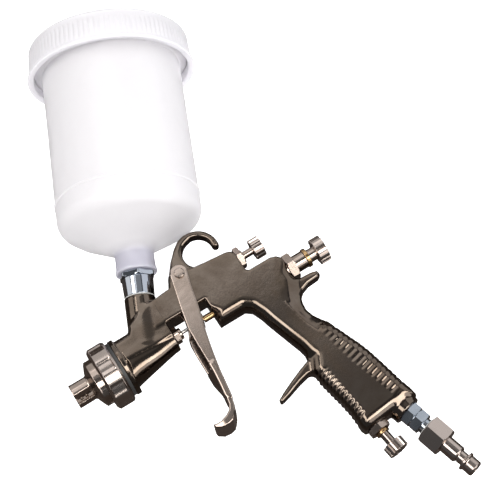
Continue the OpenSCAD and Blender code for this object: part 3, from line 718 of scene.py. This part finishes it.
cupPlace = axisFrame(cupStart, cupUp)
cup = dict(wall=2, shoulderR=45, shoulder=90.5, bend=11, shadeLow=62, shadeHigh=69)


def bendPoints(cx, cz, r, a, b, count):
    return [(cx + r * math.cos(math.radians(a + (b - a) * i / count)),
             cz + r * math.sin(math.radians(a + (b - a) * i / count)))
            for i in range(count + 1)]


outer = [(8, 51.7), (12.4, 51.7), (12.75, 52.2), (12.7, 53.4), (12.2, 54.6), (12.0, 60), (12.1, 64),
         (12.9, 66), (15, 67.4)]
outer += [(25.5, 72.9), (36, 78.4)]
outer += bendPoints(cup["shoulderR"] - cup["bend"], cup["shoulder"], cup["bend"], -62, 0, 12)
outer += [(44.95, 99.4), (45.5, 100), (45.5, 100.8), (44.9, 101.4), (44.6, 130), (44.3, 160), (44.1, 190),
          (45.5, 191.4), (49, 193), (49, 204)]
inner = [(46, 204), (46, 195), (42.3, 192), (42.4, 160), (42.7, 130)]
inner += bendPoints(cup["shoulderR"] - cup["bend"], cup["shoulder"], cup["bend"] - cup["wall"], 0, -62, 12)
inner += [(35.2, 80.3), (14.5, 69.8), (8, 63.9)]
verts, faces = turned(outer + inner, 160)
verts, faces = joined([(verts, faces)])
addPiece("cupBottle", carry(verts, cupPlace), faces, "cup_shell", sharpAngle=40)
# painted shade: the thin neck is tinted a bluish grey, standing in for the metal inside darkening it through
# the plastic
tree = mats["cup"].node_tree
base = tree.nodes["Principled BSDF"].inputs["Base Color"]
coords = addNode(tree, "ShaderNodeTexCoord").outputs["Object"]
height = addNode(tree, "ShaderNodeVectorMath", {1: tuple(cupUp)}, {0: coords},
                 operation="DOT_PRODUCT").outputs["Value"]
foot = float(np.dot(cupStart, cupUp)) * mm
shade = addNode(tree, "ShaderNodeMapRange", {"From Min": foot + cup["shadeLow"] * mm,
                                             "From Max": foot + cup["shadeHigh"] * mm, "To Min": 1.0,
                                             "To Max": 0.0}, {"Value": height},
                                             interpolation_type="SMOOTHSTEP")
neckShadeTint = addNode(tree, "ShaderNodeMix", {}, {}, data_type="RGBA")
tree.links.new(shade.outputs[0], neckShadeTint.inputs["Factor"])
tree.links.new(base.links[0].from_socket, neckShadeTint.inputs["A"])
neckShadeTint.inputs["B"].default_value = (0.40, 0.395, 0.46, 1)
tree.links.new(neckShadeTint.outputs["Result"], base)

lid = dict(flutes=96, depth=0.28, low=190.5, high=204.0)
profile = [(0, 206.1), (49.6, 206.1), (49.6, 187.8), (50.4, 187.3), (53.2, 187.3), (53.45, 187.6),
           (53.45, 188.9), (53.1, 189.6), (52.1, 190.2)]
profile += [(51.9, 195), (51.6, 200), (51.3, 204.6)]
profile += bendPoints(47.6, 205.8, 3.7, -4, 90, 10)
profile += [(44, 209.5), (43.4, 208.9), (6.6, 208.9), (6.2, 209.4), (0, 209.4)]
verts, faces = joined([turned(resampled(profile, 190, 204.6, 0.8), lid["flutes"] * 8)])
verts, faces = shaped("lid", fluteRim, verts, faces, "lid",
    {"Flutes": lid["flutes"], "Depth": lid["depth"] * mm, "Width": 0.4, "Start": lid["low"] * mm,
     "End": lid["high"] * mm,
     "Fade": 1.2 * mm, "Least Radius": 50.8 * mm})
addPiece("cupLid", carry(verts, cupPlace), faces, "cup_lid", sharpAngle=50)
verts, faces = turned(soften([(0, 204.2), (2.9, 204.2), (2.9, 209.5), (5.9, 209.5), (5.9, 211.7),
                              (1, 211.9), (0.8, 211), (0, 211)], 0.35), 48)
addPiece("ventPlug", carry(verts, cupPlace), facingOut(verts, faces), "vent_plug")
print("cup done")

# metal neck between the cup and the port
tubePart = turned(soften([(4.6, 25), (7.95, 25), (7.95, 36.1), (9.2, 36.1), (9.8, 48.1), (7, 48.1), (7, 61),
                          (4.6, 61)], 0.35), 96)
hexPart = turned(soften([(7, 48.1), (10.4, 48.1), (11.3, 48.8), (11.3, 51), (10.6, 51.7), (7, 51.7)], 0.3),
                 144,
                 flats=20.0, flatRange=(48, 52))
verts, faces = joined([tubePart, hexPart])
addPiece("cupNeck", carry(verts, axisFrame(cupStart, cupUp, 12)), faces, "cup_adapter", sharpAngle=32)

barrel = axisFrame((0, 0, 0), forward)
ring = dict(pads=8, depth=0.9, spread=0.62)
profile = resampled(soften([(15.35, -8.7), (18.4, -8.7), (20.3, -10.1), (20.3, -19.4), (19.2, -20.7),
                            (16.9, -20.7), (16.9, -10.2), (15.35, -10.2)], 0.35),
                    -19.6, -9.8, 0.5)
verts, faces = turned(profile, 240)
verts, faces = shaped("ring", fluteRim, *joined([(verts, faces)]), "ring",
    {"Flutes": ring["pads"], "Depth": ring["depth"] * mm, "Width": ring["spread"], "Start": -19.2 * mm,
     "End": -10.0 * mm, "Fade": 0.5 * mm, "Least Radius": 18.5 * mm})
addPiece("capRing", carry(verts, barrel), faces, "air_cap_ring", sharpAngle=35)


def capDistance(x, y, z):
    a = math.radians(20)
    v, w = y * math.cos(a) + z * math.sin(a), -y * math.sin(a) + z * math.cos(a)
    radial = np.hypot(v, w)
    frontR = np.interp(x, [-4.6, -3.6, -1.4], [15, 13.6, 8.6])
    dish = rounded((radial - frontR) * 0.8, np.abs(x + 3.1) - 1.6, 0.3)
    wall = rounded(radial - 15, np.abs(x + 7.8) - 3.3, 0.3)
    rim = rounded(radial - 16.6, np.abs(x + 11.75) - 1.25, 0.25)
    d = np.minimum(merge(dish, wall, 0.6), rim)
    horns = rounded(radial - 8.3, np.abs(x - 3) - 7.3, 0.35)
    horns = -merge(-horns, -(np.abs(w) - 4.2 - 0.02 * x), 0.5)
    d = merge(d, horns, 1.4)
    d = carve(d, rounded(radial - 4.9, np.abs(x - 5.6) - 6.6, 0.3), 0.5)
    d = carve(d, radial - 2.7, 0.3)
    hollow = rounded(radial - np.interp(x, [-13, -7.5, -4.8], [12.4, 12, 7]), np.abs(x + 9.4) - 4.6, 0.3)
    d = carve(d, hollow, 0.4)
    # air holes: two in each horn, and a pair beside the nozzle
    for hornX in (3.2, 6.6):
        hole = np.hypot(x - hornX, w) - 0.85
        d = carve(d, np.maximum(hole, np.abs(np.abs(v) - 4.8) - 1.6), 0.2)
    hole = np.minimum(np.hypot(w - 5.6, v), np.hypot(w + 5.6, v)) - 0.55
    d = carve(d, np.maximum(hole, np.abs(x + 2) - 2), 0.2)
    return d


verts, faces = skin(capDistance, (-13.6, -17.4, -17.4), (10.9, 17.4, 17.4), 0.3)
print("cap", len(verts), len(faces))
addPiece("airCap", verts, faces, "air_cap", sharpAngle=0)

profile = [(0.9, 0), (1.75, 0), (1.9, -0.3), (1.95, -2.4), (3, -6), (5.2, -7.5), (5.5, -14.1), (7.4, -14.1),
           (7.4, -17.9), (6, -17.9), (6, -30), (3, -30), (3, -6.6), (2.3, -5.4), (0.9, -1)]
verts, faces = turned(soften(profile, 0.15), 72, flats=12.6, flatRange=(-17.9, -14.1))
addPiece("paintNozzle", carry(verts, barrel), facingOut(verts, faces), "fluid_nozzle")
profile = [(1.2, -64.5), (3.4, -64.5), (3.7, -64), (3.7, -62.6), (5.2, -62.4), (5.4, -62), (5.4, -59.7),
           (5.2, -59.3), (2.95, -59.1), (2.95, -55.2), (1.2, -55.2)]
verts, faces = turned(soften(profile, 0.25), 72, flats=9.6, flatRange=(-62.5, -59.2))
addPiece("packingScrew", carry(verts, barrel), facingOut(verts, faces), "packing_nut")
profile = [(1.16, -118), (2.2, -118), (2.2, -80.05), (1.16, -80.05)]
verts, faces = turned(soften(profile, 0.25), 48)
addPiece("valveTube", carry(verts, barrel), facingOut(verts, faces), "air_valve_stem")
print("head done")


def hexNut(low, high, flats, hole, chamfer=0.7, sides=144):
    r = flats / 2 / math.cos(math.pi / 6)
    profile = [(hole, low), (r - chamfer * 1.1, low), (r, low + chamfer * 0.6), (r, high - chamfer * 0.6),
               (r - chamfer * 1.1, high), (hole, high)]
    return turned(soften(profile, 0.22), sides, flats=flats, flatRange=(low, high))


def knob(length, r, hole, depth, count, slotName):
    profile = [(hole, 0), (hole, depth), (0, depth), (0, length - 0.5), (r * 0.55, length - 0.5),
               (r * 0.62, length), (r, length), (r, 0)]
    profile = resampled(soften(profile, 0.3), 0.3, length - 0.3, 0.5)
    verts, faces = joined([turned(profile, count * 14)])
    return shaped("knob", fluteRim, verts, faces, slotName,
        {"Flutes": count, "Depth": 0.75 * mm, "Width": 0.62, "Start": -0.2 * mm, "End": (length + 0.2) * mm,
         "Fade": 0.2 * mm, "Least Radius": r * 0.8 * mm})


rear = axisFrame((0, 0, 0), backward)
fan = axisFrame((0, 0, 22), backward)
air = axisFrame(airStart, airDown)

verts, faces = joined([turned(soften([(4.0, 126), (6.6, 126), (6.6, 139.4), (4.0, 139.4)], 0.2), 96),
                       hexNut(139.6, 144.5, 15.4, 4.3),
                       turned(soften([(4.3, 144.4), (5.5, 144.4), (5.5, 152), (4.3, 152)], 0.3), 96)])
addPiece("fluidGuide", carry(verts, rear), faces, "fluid_guide")
verts, faces = joined([turned(soften([(4.3, 152.05), (6.1, 152.05), (6.1, 154.5), (4.3, 154.5)], 0.4), 96)])
addPiece("lockRing", carry(verts, rear), faces, "guide_lock_ring")
verts, faces = joined([turned(soften([(0, 153), (1.6, 153), (1.6, 146), (4.25, 146), (4.25, 163.5),
                                      (0, 163.5)], 0.25), 72)])
addPiece("fluidSpindle", carry(verts, rear), faces, "fluid_spindle")
verts, faces = knob(6.5, 8.5, 4.3, 4.1, 14, "ring")
addPiece("fluidKnob", carry(verts + [0, 0, 159.5], rear), faces, "fluid_knob")

verts, faces = joined([hexNut(117, 120.5, 12.5, 2.45),
                       turned(soften([(2.45, 108), (3.98, 108), (3.98, 117.1), (2.45, 117.1)], 0.2), 72),
                       turned(soften([(2.45, 120.4), (4.2, 120.4), (4.2, 121.5), (2.45, 121.5)], 0.3), 72)])
addPiece("fanGland", carry(verts, fan), faces, "fan_gland")
verts, faces = joined([turned(soften([(0, 105), (0.8, 105), (2.4, 109.5), (2.4, 132), (0, 132)], 0.2), 64)])
addPiece("fanSpindle", carry(verts, fan), faces, "fan_spindle")
verts, faces = knob(6.5, 6.6, 2.45, 4.1, 12, "ring")
addPiece("fanKnob", carry(verts + [0, 0, 128], fan), faces, "fan_knob")

verts, faces = joined([hexNut(0, 4.3, 12.5, 3.05),
                       turned(soften([(3.05, -10), (4.98, -10), (4.98, 0.1), (3.05, 0.1)], 0.2), 72)])
addPiece("airGland", carry(verts, air), faces, "air_gland")
verts, faces = joined([turned(soften([(3.05, 4.35), (4.3, 4.35), (4.3, 6.3), (3.05, 6.3)], 0.35), 72)])
addPiece("airRing", carry(verts, air), faces, "air_gland_ring")
verts, faces = joined([turned(soften([(0, -18.8), (1.6, -18.8), (3, -15), (3, 17.5), (0, 17.5)], 0.2), 64)])
addPiece("airSpindle", carry(verts, air), faces, "air_spindle")
verts, faces = knob(6.5, 6.6, 3.05, 4.1, 12, "ring")
addPiece("airKnob", carry(verts + [0, 0, 13.5], air), faces, "air_knob")

# trigger's pin
pivotAt = (-81.5, 0, 29.3)
side = axisFrame(pivotAt, (0, 1, 0))
verts, faces = joined([turned(soften([(0, -12.2), (1.4, -12.2), (2.5, -12.2), (2.5, 12.2), (3.2, 12.2),
                                      (3.2, 13), (2.6, 13.5), (0, 13.6)], 0.25), 72)])
addPiece("pivotPin", carry(verts, side), facingOut(verts, faces), "trigger_pin")
print("controls done")

inlet = axisFrame(inletStart, inletDown, 8)
verts, faces = joined([turned(soften([(3, -9), (5.95, -9), (5.95, 0.1), (3, 0.1)], 0.2), 96),
                       hexNut(0.05, 5.6, 13, 3), turned(soften([(3, 5.5), (5.9, 5.5), (5.9, 6.2), (3, 6.2)],
                                                               0.15), 96),
                       hexNut(6.1, 11.8, 12.6, 3),
                       turned(soften([(3, 11.6), (4.9, 11.6), (4.9, 22), (3, 22)], 0.3), 96)])
addPiece("inletNipple", carry(verts, inlet), faces, "inlet_fitting")
verts, faces = joined([turned(soften([(4.9, 14.3), (6.4, 14.3), (6.4, 15.15), (4.9, 15.15)], 0.25), 72)])
addPiece("inletTape", carry(verts, inlet), faces, "inlet_seal")
plug = [(3, 28.4), (5.3, 28.4), (5.3, 38.4), (4.7, 39.3), (3.9, 39.4), (3.9, 43.4), (6, 43.9), (6, 45.1),
        (5.2, 45.7), (5.1, 46),
        (5.1, 51.3), (4.5, 52), (3, 52)]
verts, faces = joined([hexNut(15.2, 28.5, 17, 4.95, 1.1), turned(soften(plug, 0.25), 96)])
addPiece("hosePlug", carry(verts, inlet), faces, "quick_plug")
print("inlet done")

for name, node, start, settings in (
        ("needleCoil", "needle_spring", 145.5, {"Turns": 8.0, "Radius": 3 * mm, "Wire Radius": 0.35 * mm,
                                                "Length": 21.7 * mm}),
        ("valveCoil", "valve_spring", 125.4, {"Turns": 6.0, "Radius": 4.6 * mm, "Wire Radius": 0.45 * mm,
                                              "Length": 16.4 * mm})):
    verts, faces = shaped(name, wireCoil, [], [], "steel", settings)
    verts[:, 2] *= -1
    addPiece(name, carry(verts + [0, 0, start], rear), facingOut(verts, faces), node, sharpAngle=0)
print("springs done")

floorMat = bpy.data.materials.new("paleFloor")
floorMat.use_nodes = True
tree = floorMat.node_tree
shader = tree.nodes["Principled BSDF"]
shader.inputs["Base Color"].default_value = (0.96, 0.96, 0.96, 1)
shader.inputs["Roughness"].default_value = 0.9
coords = addNode(tree, "ShaderNodeTexCoord").outputs["Object"]
paper = addNode(tree, "ShaderNodeGroup", {}, {}, node_tree=grain)
tree.links.new(coords, paper.inputs["Vector"])
paper.inputs["Scale"].default_value = 200
paper.inputs["Depth"].default_value = 0.03
paper.inputs["Wave"].default_value = 0.01
tree.links.new(paper.outputs["Normal"], shader.inputs["Normal"])
shader.inputs["Emission Color"].default_value = (1, 1, 1, 1)
shader.inputs["Emission Strength"].default_value = 0.6
# dim in reflections, so the plating keeps its dark bands; clear from behind
path = addNode(tree, "ShaderNodeLightPath").outputs["Is Glossy Ray"]
dim = addNode(tree, "ShaderNodeBsdfDiffuse", {"Color": (0.06, 0.05, 0.045, 1)})
clear = addNode(tree, "ShaderNodeBsdfTransparent")
backSide = addNode(tree, "ShaderNodeNewGeometry").outputs["Backfacing"]
seen = addNode(tree, "ShaderNodeMixShader", {}, {0: path, 1: shader.outputs[0], 2: dim.outputs[0]})
mixed = addNode(tree, "ShaderNodeMixShader", {}, {0: backSide, 1: seen.outputs[0], 2: clear.outputs[0]})
tree.links.new(mixed.outputs[0], tree.nodes["Material Output"].inputs["Surface"])
floorMesh = bpy.data.meshes.new("floor")
w, depth = 3.0, -0.0545
floorMesh.from_pydata([(-w, depth, -w), (-w, depth, w), (w, depth, w), (w, depth, -w)], [], [(0, 1, 2, 3)])
floorMesh.materials.append(floorMat)
floor = bpy.data.objects.new("floor", floorMesh)
bpy.context.scene.collection.objects.link(floor)

world = bpy.data.worlds.new("studio")
bpy.context.scene.world = world
world.use_nodes = True
world.node_tree.nodes["Background"].inputs[0].default_value = (0.92, 0.95, 1.0, 1)
world.node_tree.nodes["Background"].inputs[1].default_value = 0.14


def addPanel(name, at, target, size, power, color=(1, 1, 1)):
    data = bpy.data.lights.new(name, "AREA")
    data.shape = "RECTANGLE"
    data.size, data.size_y = size
    data.energy = power
    data.color = color
    light = bpy.data.objects.new(name, data)
    bpy.context.scene.collection.objects.link(light)
    light.location = at
    light.rotation_euler = (Vector(target) - Vector(at)).to_track_quat("-Z", "Y").to_euler()


middle = (-0.09, 0, 0.02)
# a broad front light with a weak fill under it, and two strips for the bright lines on the edges
# the top, left, right and under panels light the cup and the round parts
addPanel("frontPanel", (-0.27, 1.15, 0.79), middle, (0.95, 0.8), 3.4)
addPanel("fillPanel", (-0.27, 1.15, 0.23), middle, (0.95, 0.32), 0.25)
addPanel("edgeStrip", (0.47, 1.1, 0.2), middle, (0.5, 1.0), 9, (1.0, 0.98, 0.95))
addPanel("lowStrip", (-0.3, 1.15, -0.62), middle, (1.3, 0.5), 16, (1.0, 0.98, 0.95))
addPanel("topPanel", (-0.3, 0.4, 1.3), middle, (2.0, 1.3), 6)
addPanel("leftPanel", (-1.35, 0.65, 0.3), middle, (1.3, 1.4), 6, (0.97, 0.98, 1.0))
addPanel("rightPanel", (1.05, 0.55, 0.75), middle, (1.0, 0.8), 3, (1.0, 0.97, 0.94))
addPanel("underPanel", (-0.7, 0.6, -1.05), middle, (1.2, 0.7), 5.5)

cameraData = bpy.data.cameras.new("camera")
cameraData.lens = 124.95
cameraData.sensor_width = 36
cameraData.clip_start = 0.01
camera = bpy.data.objects.new("camera", cameraData)
camera.location = (0.02108, 0.9906, -0.3266)
camera.rotation_euler = [math.radians(a) for a in (112.861, 31.585, -176.109)]
bpy.context.scene.collection.objects.link(camera)
bpy.context.scene.camera = camera
bpy.context.scene.view_settings.view_transform = "Standard"
